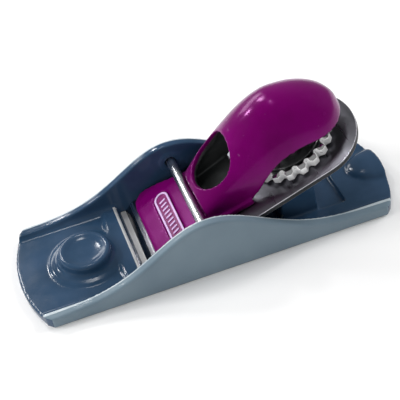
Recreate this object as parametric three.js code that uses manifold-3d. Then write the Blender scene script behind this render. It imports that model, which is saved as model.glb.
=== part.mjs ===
// A small wheel-clamped block plane, in millimetres.
// +X points to the toe (the cutting direction), +Y to the plane's left side, +Z up from the sole.
// The origin is the middle of the sole's footprint, on the sole.

import * as THREE from "three";
import * as BufferGeometryUtils from "three/addons/utils/BufferGeometryUtils.js";
import { ParametricGeometry } from "three/addons/geometries/ParametricGeometry.js";
import Module from "manifold-3d";

const wasm = await Module();
wasm.setup();

// ---------- driving dimensions ----------

const BODY_LENGTH = 140;
const BODY_WIDTH = 48.8;
const TOE_SAGITTA = 6.2;
const HEEL_SAGITTA = 7.3;
const CORNER_RADIUS = 2;
const CHEEK_THICKNESS = 3.5;
const CHEEK_PEAK_HEIGHT = 24.4;
const CHEEK_PEAK_X = 4.5;
const CHEEK_END_HEIGHT = 4.4;
const CHEEK_SPREAD_TOE = 26.5;
const CHEEK_SPREAD_HEEL = 29;
const INNER_HALF = BODY_WIDTH / 2 - CHEEK_THICKNESS;
const FLOOR_THICKNESS = 3;
const POCKET_FLOOR = 1.6;
const POCKET_HALF = 13.3;
const POCKET_REAR_X = -50.4;
const POCKET_FRONT_X = 2;
const MOUTH_LAND_X = 33;
const MOUTH_LAND_BULGE = 2;
const MOUTH_LAND_RISE = 0.8;
const FRONT_BED_REAR_X = 6;
const SEAT_REAR_X = 10;
const REAR_BED_FRONT_X = -27;
const REAR_BED_REAR_X = -38;
const REAR_BED_HALF = 13;

const TAIL_LENGTH = 13;
const TAIL_HALF_WIDTH = 8.5;
const TAIL_RISE = 2.8;

const BED_ANGLE = THREE.MathUtils.degToRad(20);
const MOUTH_FRONT_X = 28.4;
const MOUTH_SOLE_X = 26.6;
const MOUTH_LIP_HEIGHT = 0.8;
const MOUTH_REAR_X = 24.3;
const EDGE_X = 24.8;
const EDGE_Z = 0.4;
const GAP = 0.3;

const CUTTER_WIDTH = 41.2;
const CUTTER_LENGTH = 90;
const CUTTER_THICKNESS = 2;
const CUTTER_END_LENGTH = 17;
const BEVEL_ANGLE = THREE.MathUtils.degToRad(25);

const PIN_X = 4.2;
const PIN_Z = 16.8;
const PIN_RADIUS = 1.75;
const PIN_BLIND_DEPTH = 2;
const PIN_BOSS_RADIUS = 4;
const PIN_BOSS_PROUD = 0.4;

const REST_X = 44.8;
const REST_RADIUS = 9.6;
const REST_HEIGHT = 8.4;
const REST_FLANGE_RADIUS = 13.4;
const REST_DISH_DEPTH = 1.2;

// Places along the cutter (u, from the cutting edge towards the heel) and above it (w, from its underside).
const CAP_FRONT_U = 4.6;
const CAP_WIDTH = 40.4;
const CAP_PIN_U = 25;
const CAP_UNDER_W = 2.3;
const CAP_FRONT_W = 3.6;
const CAP_PIN_W = 6.3;
const CAP_NECK_W = 4.6;
const CAP_REAR_U = 46;
const BADGE_U = 15.2;
const BADGE_WIDTH = 6;
const BADGE_LENGTH = 25.5;
const BADGE_RECESS = 0.7;
const BADGE_PROUD = 0.15;
const HOOD_FRONT_U = 27.5;
const HOOD_FRONT_HALF = 12.1;
const HOOD_FRONT_DROP = 17.5;
const HOOD_BELLY_U = 60;
const HOOD_BELLY_HALF = 15;
const HOOD_CROWN_U = 66.4;
const HOOD_CROWN = 28.9;
const HOOD_CROWN_SOFTNESS = 0.2;
const HOOD_FRONT_POWER = 1.27;
const HOOD_REAR_POWER = 0.9;
const HOOD_SECTION_POWER = 2.1;
const HOOD_SHOULDER = 12;
const HOOD_REAR_U = 73;
const HOOD_REAR_RADIUS = 14.6;
const HOOD_END_U = HOOD_REAR_U + HOOD_REAR_RADIUS;
const HOOD_WALL = 2.6;
const EYE_U = 41.3;
const EYE_W = 14.7;
const EYE_TILT = THREE.MathUtils.degToRad(43);
const EYE_HALF_LENGTH = 10.2;
const EYE_HALF_WIDTH = 10.3;
const WHEEL_U = 64.5;
const WHEEL_RADIUS = 17;
const WHEEL_THICKNESS = 4.5;
const WHEEL_UNDER_W = 2.6;
const WHEEL_TEETH = 20;
const WHEEL_TOOTH_DEPTH = 1.8;
const WHEEL_DISH_DEPTH = 0.9;
const WHEEL_HUB_W = 8.2;
const HUB_RADIUS = 6.5;
const STUD_RADIUS = 3;
const STUD_FOOT_W = 4;
const STUD_TOP_W = 20;
const BOSS_RADIUS = 5.6;
const BOSS_UNDER_W = 11.2;
const BORE_TOP_W = 22.5;

// ---------- helpers ----------

function solidOf(geometry) {
  const bare = geometry.clone();
  bare.deleteAttribute("normal");
  bare.deleteAttribute("uv");
  const merged = BufferGeometryUtils.mergeVertices(bare, 1e-4);
  const corners = merged.index.array;
  const kept = [];
  for (let i = 0; i < corners.length; i += 3) {
    const [a, b, c] = [corners[i], corners[i + 1], corners[i + 2]];
    if (a !== b && b !== c && c !== a) kept.push(a, b, c);
  }
  return new wasm.Manifold(new wasm.Mesh({
    numProp: 3,
    vertProperties: new Float32Array(merged.attributes.position.array),
    triVerts: new Uint32Array(kept),
  }));
}

function geometryOf(solid) {
  const mesh = solid.getMesh();
  const geometry = new THREE.BufferGeometry();
  geometry.setAttribute("position", new THREE.BufferAttribute(new Float32Array(mesh.vertProperties), 3));
  geometry.setIndex(new THREE.BufferAttribute(new Uint32Array(mesh.triVerts), 1));
  geometry.computeVertexNormals();
  return geometry;
}

// A closed plate from an outline in XY, from z = bottom to z = top.
function plate(shape, bottom, top, curveSegments = 16) {
  const geometry = new THREE.ExtrudeGeometry(shape, {
    depth: top - bottom,
    bevelEnabled: false,
    curveSegments,
  });
  geometry.translate(0, 0, bottom);
  return solidOf(geometry);
}

// A closed prism from an outline in XZ, from y = -halfWidth to y = +halfWidth.
function prism(shape, halfWidth, curveSegments = 16) {
  const geometry = new THREE.ExtrudeGeometry(shape, {
    depth: 2 * halfWidth,
    bevelEnabled: false,
    curveSegments,
  });
  geometry.rotateX(Math.PI / 2);
  geometry.translate(0, halfWidth, 0);
  return solidOf(geometry);
}

function turned(profile, segments = 48) {
  const points = profile.map(([radius, height]) => new THREE.Vector2(radius, height));
  const geometry = new THREE.LatheGeometry(points, segments);
  geometry.rotateX(Math.PI / 2);
  return solidOf(geometry);
}

function box(low, high) {
  const size = high.map((value, i) => value - low[i]);
  const geometry = new THREE.BoxGeometry(...size);
  geometry.translate(...low.map((value, i) => value + size[i] / 2));
  return solidOf(geometry);
}

function polygon(points) {
  return new THREE.Shape(points.map(([x, y]) => new THREE.Vector2(x, y)));
}

function named(name, solid, colour, roughness, metalness) {
  const material = new THREE.MeshStandardMaterial({ color: colour, roughness, metalness });
  const mesh = new THREE.Mesh(geometryOf(solid), material);
  mesh.name = name;
  return mesh;
}

// ---------- body casting ----------

// One rounded end: an arc between the two side lines, with small round corners.
function endPoints(tipX, sagitta, halfWidth, direction) {
  const radius = (halfWidth * halfWidth + sagitta * sagitta) / (2 * sagitta);
  const centreX = tipX - direction * radius;
  const reach = Math.asin((halfWidth - CORNER_RADIUS) / radius);
  const steps = 14;
  const points = [];
  for (let i = 0; i <= steps; i += 1) {
    const angle = reach * (1 - (2 * i) / steps);
    points.push([centreX + direction * radius * Math.cos(angle), direction * radius * Math.sin(angle)]);
  }
  return points;
}

function footprint() {
  const half = BODY_WIDTH / 2;
  const toe = endPoints(BODY_LENGTH / 2, TOE_SAGITTA, half, 1);
  const heel = endPoints(-BODY_LENGTH / 2, HEEL_SAGITTA, half, -1);
  const toeSide = toe[0][0] - CORNER_RADIUS;
  const heelSide = heel[0][0] + CORNER_RADIUS;
  return polygon([
    [toeSide, half],
    ...toe,
    [toeSide, -half],
    [heelSide, -half],
    ...heel,
    [heelSide, half],
  ].reverse());
}

// The cheek's top edge falls away from its peak as a bell on each side.
function cheekHeight(x) {
  const spread = x > CHEEK_PEAK_X ? CHEEK_SPREAD_TOE : CHEEK_SPREAD_HEEL;
  const fall = Math.exp(-(((x - CHEEK_PEAK_X) / spread) ** 2));
  return CHEEK_END_HEIGHT + (CHEEK_PEAK_HEIGHT - CHEEK_END_HEIGHT) * fall;
}

function cheekSide() {
  const half = BODY_LENGTH / 2 + 1;
  const steps = 56;
  const points = [[-half, -1], [half, -1]];
  for (let i = 0; i <= steps; i += 1) {
    const x = half - (2 * half * i) / steps;
    points.push([x, cheekHeight(x)]);
  }
  return polygon(points);
}

function fingerRest() {
  const rim = REST_RADIUS - 1.4;
  const rest = turned([
    [0, FLOOR_THICKNESS - 1],
    [REST_FLANGE_RADIUS, FLOOR_THICKNESS - 1],
    [REST_FLANGE_RADIUS, FLOOR_THICKNESS + 0.5],
    [REST_RADIUS + 0.9, FLOOR_THICKNESS + 1],
    [REST_RADIUS, FLOOR_THICKNESS + 2],
    [REST_RADIUS, REST_HEIGHT - 1],
    [REST_RADIUS - 0.5, REST_HEIGHT - 0.25],
    [rim, REST_HEIGHT],
    [rim * 0.75, REST_HEIGHT - REST_DISH_DEPTH * 0.7],
    [rim * 0.4, REST_HEIGHT - REST_DISH_DEPTH],
    [0, REST_HEIGHT - REST_DISH_DEPTH],
  ]);
  return rest.translate([REST_X, 0, 0]);
}

// The height of the bed plane, which the cutter's underside lies on, less the running gap.
function bedHeight(x) {
  return EDGE_Z + (EDGE_X - x) * Math.tan(BED_ANGLE) - GAP / Math.cos(BED_ANGLE);
}

function frontBed() {
  const side = polygon([
    [MOUTH_REAR_X, 0],
    [MOUTH_REAR_X, bedHeight(MOUTH_REAR_X)],
    [FRONT_BED_REAR_X, bedHeight(FRONT_BED_REAR_X)],
    [FRONT_BED_REAR_X - 2, FLOOR_THICKNESS - 1],
    [FRONT_BED_REAR_X - 2, 0],
  ]);
  return prism(side, INNER_HALF + 0.5);
}

// Everything above the bed plane near the mouth, where the cutter lies in the casting's floor.
function cutterSeat() {
  const side = polygon([
    [MOUTH_REAR_X + 1, bedHeight(MOUTH_REAR_X + 1)],
    [MOUTH_REAR_X + 1, CHEEK_PEAK_HEIGHT + 1],
    [SEAT_REAR_X, CHEEK_PEAK_HEIGHT + 1],
    [SEAT_REAR_X, bedHeight(SEAT_REAR_X)],
  ]);
  return prism(side, INNER_HALF);
}

function rearBed() {
  const side = polygon([
    [REAR_BED_FRONT_X, bedHeight(REAR_BED_FRONT_X)],
    [REAR_BED_REAR_X, bedHeight(REAR_BED_REAR_X)],
    [REAR_BED_REAR_X - 2, 1],
    [REAR_BED_FRONT_X + 2, 1],
  ]);
  return prism(side, REAR_BED_HALF);
}

function tailBoss() {
  const geometry = new THREE.SphereGeometry(1, 28, 16);
  geometry.scale(TAIL_LENGTH, TAIL_HALF_WIDTH, TAIL_RISE);
  geometry.translate(-BODY_LENGTH / 2, 0, FLOOR_THICKNESS);
  return solidOf(geometry);
}

function pinBosses() {
  const rooted = PIN_BOSS_PROUD + 1;
  const make = (side) => {
    const geometry = new THREE.CylinderGeometry(PIN_BOSS_RADIUS, PIN_BOSS_RADIUS, rooted, 32);
    geometry.translate(PIN_X, side * (INNER_HALF + 1 - rooted / 2), PIN_Z);
    return solidOf(geometry);
  };
  return make(1).add(make(-1));
}

function pinHoles() {
  const reach = INNER_HALF + PIN_BLIND_DEPTH + GAP;
  const geometry = new THREE.CylinderGeometry(PIN_RADIUS + GAP, PIN_RADIUS + GAP, 2 * reach, 32);
  geometry.translate(PIN_X, 0, PIN_Z);
  return solidOf(geometry);
}

// The raised land ahead of the mouth, whose front edge bows towards the toe.
function mouthLand() {
  const half = INNER_HALF + 1;
  const steps = 16;
  const outline = [[MOUTH_REAR_X, -half]];
  for (let i = 0; i <= steps; i += 1) {
    const y = half * ((2 * i) / steps - 1);
    outline.push([MOUTH_LAND_X + MOUTH_LAND_BULGE * (1 - (y / half) ** 2), y]);
  }
  outline.push([MOUTH_REAR_X, half]);
  return plate(polygon(outline), FLOOR_THICKNESS - 1, FLOOR_THICKNESS + MOUTH_LAND_RISE);
}

// The mouth: narrow at the sole, its front wall leaning towards the toe so that shavings can rise.
function mouth() {
  const top = FLOOR_THICKNESS + 6;
  const outline = polygon([
    [MOUTH_REAR_X, -1],
    [MOUTH_SOLE_X, -1],
    [MOUTH_SOLE_X, MOUTH_LIP_HEIGHT],
    [MOUTH_FRONT_X, FLOOR_THICKNESS + MOUTH_LAND_RISE],
    [MOUTH_FRONT_X, top],
    [MOUTH_REAR_X, top],
  ]);
  return prism(outline, INNER_HALF - 0.1);
}

function bodyCasting() {
  const outer = plate(footprint(), 0, CHEEK_PEAK_HEIGHT + 1);
  const length = BODY_LENGTH / 2 + 1;
  const shell = outer
    .intersect(prism(cheekSide(), BODY_WIDTH))
    .subtract(box([-length, -INNER_HALF, FLOOR_THICKNESS], [length, INNER_HALF, CHEEK_PEAK_HEIGHT + 2]));
  const pocket = box(
    [POCKET_REAR_X, -POCKET_HALF, POCKET_FLOOR],
    [POCKET_FRONT_X, POCKET_HALF, FLOOR_THICKNESS + 1],
  );
  return shell
    .subtract(pocket)
    .add(frontBed())
    .add(rearBed())
    .add(mouthLand())
    .add(fingerRest())
    .add(tailBoss())
    .intersect(plate(footprint(), 0, CHEEK_PEAK_HEIGHT + 1))
    .subtract(cutterSeat())
    .add(pinBosses())
    .subtract(mouth())
    .subtract(pinHoles());
}

function crossPin() {
  const length = 2 * (INNER_HALF + PIN_BLIND_DEPTH);
  const geometry = new THREE.CylinderGeometry(PIN_RADIUS, PIN_RADIUS, length, 32);
  geometry.translate(PIN_X, 0, PIN_Z);
  return solidOf(geometry);
}

// ---------- cutter, in its own frame: u runs towards -x, w is z ----------

function cutter() {
  const half = CUTTER_WIDTH / 2;
  const outline = new THREE.Shape();
  outline.moveTo(0, -half);
  outline.lineTo(0, half);
  outline.absellipse(
    CUTTER_END_LENGTH - CUTTER_LENGTH,
    0,
    CUTTER_END_LENGTH,
    half,
    Math.PI / 2,
    (3 * Math.PI) / 2,
    false,
    0,
  );
  outline.closePath();
  const bevelRun = CUTTER_THICKNESS / Math.tan(BEVEL_ANGLE);
  const side = polygon([
    [0, 0],
    [-bevelRun, CUTTER_THICKNESS],
    [-CUTTER_LENGTH - 1, CUTTER_THICKNESS],
    [-CUTTER_LENGTH - 1, 0],
  ]);
  return plate(outline, -1, CUTTER_THICKNESS + 1, 24).intersect(prism(side, half + 1));
}

// ---------- lever cap ----------

// In the cutter's frame a place u along the cutter is at x = -u, and a height above its underside is z.

// The hood's outer half width: narrow at its mouth, widest over the wheel, round at its rear end.
function hoodHalfWidth(u) {
  if (u > HOOD_REAR_U) {
    return Math.sqrt(Math.max(HOOD_REAR_RADIUS ** 2 - (u - HOOD_REAR_U) ** 2, 0));
  }
  if (u > HOOD_BELLY_U) {
    const t = (u - HOOD_BELLY_U) / (HOOD_REAR_U - HOOD_BELLY_U);
    return HOOD_BELLY_HALF - (HOOD_BELLY_HALF - HOOD_REAR_RADIUS) * t * t;
  }
  const t = Math.max((u - HOOD_FRONT_U) / (HOOD_BELLY_U - HOOD_FRONT_U), 0);
  return HOOD_FRONT_HALF + (HOOD_BELLY_HALF - HOOD_FRONT_HALF) * Math.sin((t * Math.PI) / 2);
}

// From 0 at the crown to 1 at an end, leaving the crown gently.
function awayFromCrown(t) {
  const start = HOOD_CROWN_SOFTNESS;
  return (Math.hypot(t, start) - start) / (Math.hypot(1, start) - start);
}

// The hood's crown height above the cutter's underside.
function hoodTop(u) {
  if (u > HOOD_CROWN_U) {
    const t = Math.min((u - HOOD_CROWN_U) / (HOOD_END_U - HOOD_CROWN_U), 1);
    const fall = Math.sqrt(Math.max(1 - awayFromCrown(t) ** HOOD_REAR_POWER, 0));
    return HOOD_SHOULDER + (HOOD_CROWN - HOOD_SHOULDER) * fall;
  }
  const t = (HOOD_CROWN_U - u) / (HOOD_CROWN_U - HOOD_FRONT_U);
  return HOOD_CROWN - HOOD_FRONT_DROP * awayFromCrown(t) ** HOOD_FRONT_POWER;
}

// A closed loaf: at each place along u an arch on straight legs, pulled in by inset all round. Its first
// and last rows shrink to a point, which closes its flat front end and its round rear end.
function hoodLoaf(startU, endU, inset, foot) {
  const rows = 40;
  const archSteps = 30;
  const baseSteps = 8;
  const steps = archSteps + baseSteps + 2;
  const surface = (t, around, target) => {
    const along = THREE.MathUtils.clamp((t * rows - 1) / (rows - 2), 0, 1);
    const u = startU + (endU - startU) * Math.sin((along * Math.PI) / 2);
    const open = t > 0 && t < 1 ? 1 : 0;
    const half = Math.max(hoodHalfWidth(u + inset * along) - inset, 0.4);
    const top = hoodTop(u + inset * along) - inset;
    const shoulder = Math.min(HOOD_SHOULDER - 2, top * 0.55);
    const rise = Math.max(top - shoulder, 0.4);
    const step = Math.round(around * steps) % steps;
    if (step <= archSteps) {
      const angle = (step / archSteps) * Math.PI;
      const out = Math.sign(Math.cos(angle)) * Math.abs(Math.cos(angle)) ** (2 / HOOD_SECTION_POWER);
      const rises = Math.max(Math.sin(angle), 0) ** (2 / HOOD_SECTION_POWER);
      target.set(-u, open * half * out, shoulder + open * rise * rises);
    } else {
      const across = (2 * (step - archSteps - 1)) / baseSteps - 1;
      target.set(-u, open * half * across, shoulder + open * (foot - shoulder));
    }
  };
  return solidOf(new ParametricGeometry(surface, rows, steps));
}

// The oval eye in the front of the hood, square to its sloping rim.
function hoodEye() {
  const geometry = new THREE.CylinderGeometry(1, 1, 20, 48);
  geometry.rotateX(Math.PI / 2);
  geometry.scale(EYE_HALF_LENGTH, EYE_HALF_WIDTH, 1);
  geometry.translate(0, 0, 5);
  geometry.rotateY(EYE_TILT);
  geometry.translate(-EYE_U, 0, EYE_W);
  return solidOf(geometry);
}

// The hood is open on both sides above the wheel, below a lip that arches up from the plate.
function hoodSideCut() {
  const side = new THREE.Shape();
  side.moveTo(-38, 0);
  side.lineTo(-38, 2.6);
  side.bezierCurveTo(-50, 3.5, -52, 12.7, -63, 12.8);
  side.bezierCurveTo(-71, 12.9, -78, 9.2, -95, 8.5);
  side.lineTo(-95, 0);
  side.closePath();
  return prism(side, CAP_WIDTH, 10);
}

function capOutline() {
  const half = [
    [-CAP_FRONT_U, 15],
    [-6.2, 18.6],
    [-10, CAP_WIDTH / 2],
    [-17, 18.2],
    [-CAP_PIN_U, 15],
    [-34, 14.6],
    [-44, 15],
  ];
  const curve = new THREE.SplineCurve(half.map(([x, y]) => new THREE.Vector2(x, y)));
  const edge = curve.getPoints(36).map((point) => [point.x, point.y]);
  const mirrored = edge.map(([x, y]) => [x, -y]).reverse();
  return polygon([...edge, ...mirrored]);
}

function capPlate() {
  const side = polygon([
    [-CAP_FRONT_U, CAP_UNDER_W],
    [-CAP_FRONT_U, CAP_UNDER_W + 0.6],
    [-CAP_FRONT_U - 0.8, CAP_FRONT_W],
    [-CAP_PIN_U + 2, CAP_PIN_W],
    [-CAP_PIN_U - 3, CAP_PIN_W],
    [-CAP_PIN_U - 6, CAP_NECK_W],
    [-CAP_REAR_U, CAP_NECK_W],
    [-CAP_REAR_U, CAP_UNDER_W],
  ]);
  return plate(capOutline(), 0, 20).intersect(prism(side, CAP_WIDTH));
}

function badgeOutline(grow) {
  const end = BADGE_WIDTH / 2 + grow;
  const straight = BADGE_LENGTH / 2 - BADGE_WIDTH / 2;
  const outline = new THREE.Shape();
  outline.absarc(0, straight, end, 0, Math.PI, false);
  outline.absarc(0, -straight, end, Math.PI, 2 * Math.PI, false);
  outline.closePath();
  return outline;
}

const badgeTilt = -Math.atan2(CAP_PIN_W - CAP_FRONT_W, CAP_PIN_U - 2 - CAP_FRONT_U - 0.8);
const badgeW = CAP_FRONT_W - (BADGE_U - CAP_FRONT_U - 0.8) * Math.tan(badgeTilt);

function badgeRecess() {
  const degrees = -THREE.MathUtils.radToDeg(badgeTilt);
  return plate(badgeOutline(GAP), -BADGE_RECESS, 4, 12)
    .rotate([0, degrees, 0])
    .translate([-BADGE_U, 0, badgeW]);
}

function leverCap() {
  const outer = hoodLoaf(HOOD_FRONT_U, HOOD_END_U, 0, CAP_UNDER_W);
  const inner = hoodLoaf(HOOD_FRONT_U + HOOD_WALL, HOOD_END_U - HOOD_WALL, HOOD_WALL, 0);
  const boss = turned([
    [0, BOSS_UNDER_W],
    [BOSS_RADIUS, BOSS_UNDER_W],
    [BOSS_RADIUS, HOOD_CROWN],
    [0, HOOD_CROWN],
  ], 32).translate([-WHEEL_U, 0, 0]);
  const bore = turned([
    [0, BOSS_UNDER_W - 1],
    [STUD_RADIUS + GAP, BOSS_UNDER_W - 1],
    [STUD_RADIUS + GAP, BORE_TOP_W],
    [0, BORE_TOP_W],
  ], 32).translate([-WHEEL_U, 0, 0]);
  const shell = outer
    .subtract(inner)
    .subtract(hoodEye())
    .subtract(hoodSideCut());
  return shell
    .add(capPlate())
    .add(boss.intersect(outer))
    .subtract(bore)
    .subtract(badgeRecess());
}

// ---------- clamp wheel and stud ----------

function wheelOutline() {
  const outline = new THREE.Shape();
  const step = (2 * Math.PI) / WHEEL_TEETH;
  const toothCorners = [[-0.22, 0.25], [-0.1, 0], [0.1, 0], [0.22, 0.25], [0.5, WHEEL_TOOTH_DEPTH]];
  const points = [];
  for (let tooth = 0; tooth < WHEEL_TEETH; tooth += 1) {
    for (const [turn, depth] of toothCorners) {
      const angle = (tooth + turn) * step;
      const radius = WHEEL_RADIUS - depth;
      points.push(new THREE.Vector2(radius * Math.cos(angle), radius * Math.sin(angle)));
    }
  }
  outline.setFromPoints(points);
  return outline;
}

function clampWheel() {
  const rim = plate(wheelOutline(), WHEEL_UNDER_W, WHEEL_UNDER_W + WHEEL_THICKNESS);
  const hub = turned([
    [0, WHEEL_UNDER_W],
    [HUB_RADIUS, WHEEL_UNDER_W],
    [HUB_RADIUS, WHEEL_HUB_W],
    [0, WHEEL_HUB_W],
  ], 32);
  const top = WHEEL_UNDER_W + WHEEL_THICKNESS;
  const dish = turned([
    [HUB_RADIUS + 1, top - WHEEL_DISH_DEPTH],
    [WHEEL_RADIUS - 4, top - WHEEL_DISH_DEPTH],
    [WHEEL_RADIUS - 3.2, top + 1],
    [HUB_RADIUS + 0.2, top + 1],
    [HUB_RADIUS + 1, top - WHEEL_DISH_DEPTH],
  ], 48);
  const socket = turned([
    [0, STUD_FOOT_W - GAP],
    [STUD_RADIUS + GAP, STUD_FOOT_W - GAP],
    [STUD_RADIUS + GAP, WHEEL_HUB_W + 1],
    [0, WHEEL_HUB_W + 1],
  ], 32);
  return rim.subtract(dish).add(hub).subtract(socket);
}

function clampStud() {
  return turned([
    [0, STUD_FOOT_W],
    [STUD_RADIUS, STUD_FOOT_W],
    [STUD_RADIUS, STUD_TOP_W - 0.8],
    [STUD_RADIUS - 0.8, STUD_TOP_W],
    [0, STUD_TOP_W],
  ], 32);
}

// ---------- assembly ----------

// The cutter's frame: origin on the cutting edge, x towards the toe along the cutter, z square to it.
const cutterFrame = new THREE.Group();
cutterFrame.position.set(EDGE_X, 0, EDGE_Z);
cutterFrame.rotation.y = BED_ANGLE;
cutterFrame.add(named("cutter", cutter(), 0x8d8f98, 0.35, 1));
cutterFrame.add(named("lever_cap", leverCap(), 0x7a0a66, 0.2, 0));

const badgePlate = plate(badgeOutline(0), -BADGE_RECESS + GAP, BADGE_PROUD, 12);
const badge = named("cap_badge", badgePlate, 0xd9c2e6, 0.4, 0);
badge.position.set(-BADGE_U, 0, badgeW);
badge.rotation.y = -badgeTilt;
cutterFrame.add(badge);

const wheelAxis = new THREE.Group();
wheelAxis.position.x = -WHEEL_U;
wheelAxis.add(named("clamp_wheel", clampWheel(), 0xd5d6da, 0.25, 1));
wheelAxis.add(named("clamp_stud", clampStud(), 0xb9bac0, 0.35, 1));
cutterFrame.add(wheelAxis);

const group = new THREE.Group();
group.add(named("body_casting", bodyCasting(), 0x3d5366, 0.25, 0));
group.add(named("cross_pin", crossPin(), 0xc9cdd6, 0.25, 1));
group.add(cutterFrame);

export default group;
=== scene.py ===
import math

import bmesh
import bpy
from mathutils import Matrix, Vector


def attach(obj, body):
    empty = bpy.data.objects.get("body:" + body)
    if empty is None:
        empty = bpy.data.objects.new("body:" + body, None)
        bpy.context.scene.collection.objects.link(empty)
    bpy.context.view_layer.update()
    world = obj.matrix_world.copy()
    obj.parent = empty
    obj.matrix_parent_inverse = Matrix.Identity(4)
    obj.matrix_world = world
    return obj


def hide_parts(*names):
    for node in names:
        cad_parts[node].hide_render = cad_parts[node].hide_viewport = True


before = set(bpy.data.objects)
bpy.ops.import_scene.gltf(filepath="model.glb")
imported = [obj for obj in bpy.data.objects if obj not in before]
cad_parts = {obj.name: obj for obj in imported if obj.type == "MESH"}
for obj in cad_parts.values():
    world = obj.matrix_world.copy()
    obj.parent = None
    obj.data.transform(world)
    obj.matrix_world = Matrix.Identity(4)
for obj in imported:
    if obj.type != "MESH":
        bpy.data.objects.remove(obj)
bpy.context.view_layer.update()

# Shapes are made in millimetres and scaled to metres when they are finished.
MM = 0.001

# ---------- driving dimensions, the same as the CAD's ----------

BODY_LENGTH = 140
BODY_WIDTH = 48.8
TOE_SAGITTA = 6.2
HEEL_SAGITTA = 7.3
CORNER_RADIUS = 2
CHEEK_THICKNESS = 3.5
CHEEK_PEAK_HEIGHT = 24.4
CHEEK_PEAK_X = 4.5
CHEEK_END_HEIGHT = 4.4
CHEEK_SPREAD_TOE = 26.5
CHEEK_SPREAD_HEEL = 29
FLOOR_THICKNESS = 3
INNER_HALF = BODY_WIDTH / 2 - CHEEK_THICKNESS
POCKET_FLOOR = 1.6
POCKET_HALF = 13.3
POCKET_REAR_X = -50.4
POCKET_FRONT_X = 2
MOUTH_LAND_X = 33
MOUTH_LAND_BULGE = 2
MOUTH_LAND_RISE = 0.8
FRONT_BED_REAR_X = 6
SEAT_REAR_X = 10
REAR_BED_FRONT_X = -27
REAR_BED_REAR_X = -38
REAR_BED_HALF = 13
TAIL_LENGTH = 13
TAIL_HALF_WIDTH = 8.5
TAIL_RISE = 2.8

BED_ANGLE = math.radians(20)
MOUTH_FRONT_X = 28.4
MOUTH_SOLE_X = 26.6
MOUTH_LIP_HEIGHT = 0.8
MOUTH_REAR_X = 24.3
EDGE_X = 24.8
EDGE_Z = 0.4
GAP = 0.3

CUTTER_WIDTH = 41.2
CUTTER_LENGTH = 90
CUTTER_THICKNESS = 2
CUTTER_END_LENGTH = 17
BEVEL_ANGLE = math.radians(25)

PIN_X = 4.2
PIN_Z = 16.8
PIN_RADIUS = 1.75
PIN_BLIND_DEPTH = 2
PIN_BOSS_RADIUS = 4
PIN_BOSS_PROUD = 0.4

REST_X = 44.8
REST_RADIUS = 9.6
REST_HEIGHT = 8.4
REST_FLANGE_RADIUS = 13.4
REST_DISH_DEPTH = 1.2

CAP_FRONT_U = 4.6
CAP_UNDER_W = 2.3
CAP_FRONT_W = 3.6
CAP_PIN_U = 25
CAP_PIN_W = 6.3
CAP_NECK_W = 4.6
CAP_REAR_U = 46
BADGE_U = 15.2
BADGE_WIDTH = 6
BADGE_LENGTH = 25.5
BADGE_RECESS = 0.7
BADGE_PROUD = 0.15
HOOD_FRONT_U = 27.5
HOOD_FRONT_HALF = 12.1
HOOD_FRONT_DROP = 17.5
HOOD_BELLY_U = 60
HOOD_BELLY_HALF = 15
HOOD_CROWN_U = 66.4
HOOD_CROWN = 28.9
HOOD_CROWN_SOFTNESS = 0.2
HOOD_FRONT_POWER = 1.27
HOOD_REAR_POWER = 0.9
HOOD_SECTION_POWER = 2.1
HOOD_SHOULDER = 12
HOOD_REAR_U = 73
HOOD_REAR_RADIUS = 14.6
HOOD_END_U = HOOD_REAR_U + HOOD_REAR_RADIUS
HOOD_WALL = 2.6
EYE_U = 41.3
EYE_W = 14.7
EYE_TILT = math.radians(43)
EYE_HALF_LENGTH = 10.2
EYE_HALF_WIDTH = 10.3
WHEEL_U = 64.5
WHEEL_RADIUS = 17
WHEEL_THICKNESS = 4.5
WHEEL_UNDER_W = 2.6
WHEEL_TEETH = 20
WHEEL_TOOTH_DEPTH = 1.8
WHEEL_DISH_DEPTH = 0.9
WHEEL_HUB_W = 8.2
HUB_RADIUS = 6.5
STUD_RADIUS = 3
STUD_FOOT_W = 4
STUD_TOP_W = 20
BOSS_RADIUS = 5.6
BOSS_UNDER_W = 11.2
BORE_TOP_W = 22.5

# ---------- dimensions of the finer details ----------

WALL_FILLET = 2.2
WALL_FILLET_HOLLOW = 0.8
HONED_SHARE = 0.62
CAP_PIN_LAND = 2
CAP_NOSE_LENGTH = 0.8
BADGE_BARS = 9
BADGE_BAR_PITCH = 2.1
BADGE_BAR_HALF = 1.3
WHEEL_TEETH_START = 14.6
STUD_PITCH = 1.25
STUD_GROOVE_DEPTH = 0.62

# ---------- places ----------

# The cutter's frame: origin on the cutting edge, x towards the toe along the cutter, z square to it.
CUTTER_FRAME = Matrix.Translation((EDGE_X, 0, EDGE_Z)) @ Matrix.Rotation(BED_ANGLE, 4, "Y")

# The wheel's and the badge's places in the cutter's frame. The badge lies on the sloping front plate.
WHEEL_PLACE = Matrix.Translation((-WHEEL_U, 0, 0))
BADGE_TILT = math.atan2(CAP_PIN_W - CAP_FRONT_W, CAP_PIN_U - CAP_PIN_LAND - CAP_FRONT_U - CAP_NOSE_LENGTH)
BADGE_W = CAP_FRONT_W + (BADGE_U - CAP_FRONT_U - CAP_NOSE_LENGTH) * math.tan(BADGE_TILT)
BADGE_PLACE = Matrix.Translation((-BADGE_U, 0, BADGE_W)) @ Matrix.Rotation(BADGE_TILT, 4, "Y")

# The cross pin's line: its z runs from cheek to cheek.
PIN_PLACE = Matrix.Translation((PIN_X, 0, PIN_Z)) @ Matrix.Rotation(math.pi / 2, 4, "X")

# ---------- mesh helpers ----------


def shape(name, points, faces):
    mesh = bpy.data.meshes.new(name)
    mesh.from_pydata(points, [], faces)
    made = bpy.data.objects.new(name, mesh)
    bpy.context.scene.collection.objects.link(made)
    work = bmesh.new()
    work.from_mesh(mesh)
    bmesh.ops.recalc_face_normals(work, faces=work.faces)
    work.to_mesh(mesh)
    work.free()
    return made


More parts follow.
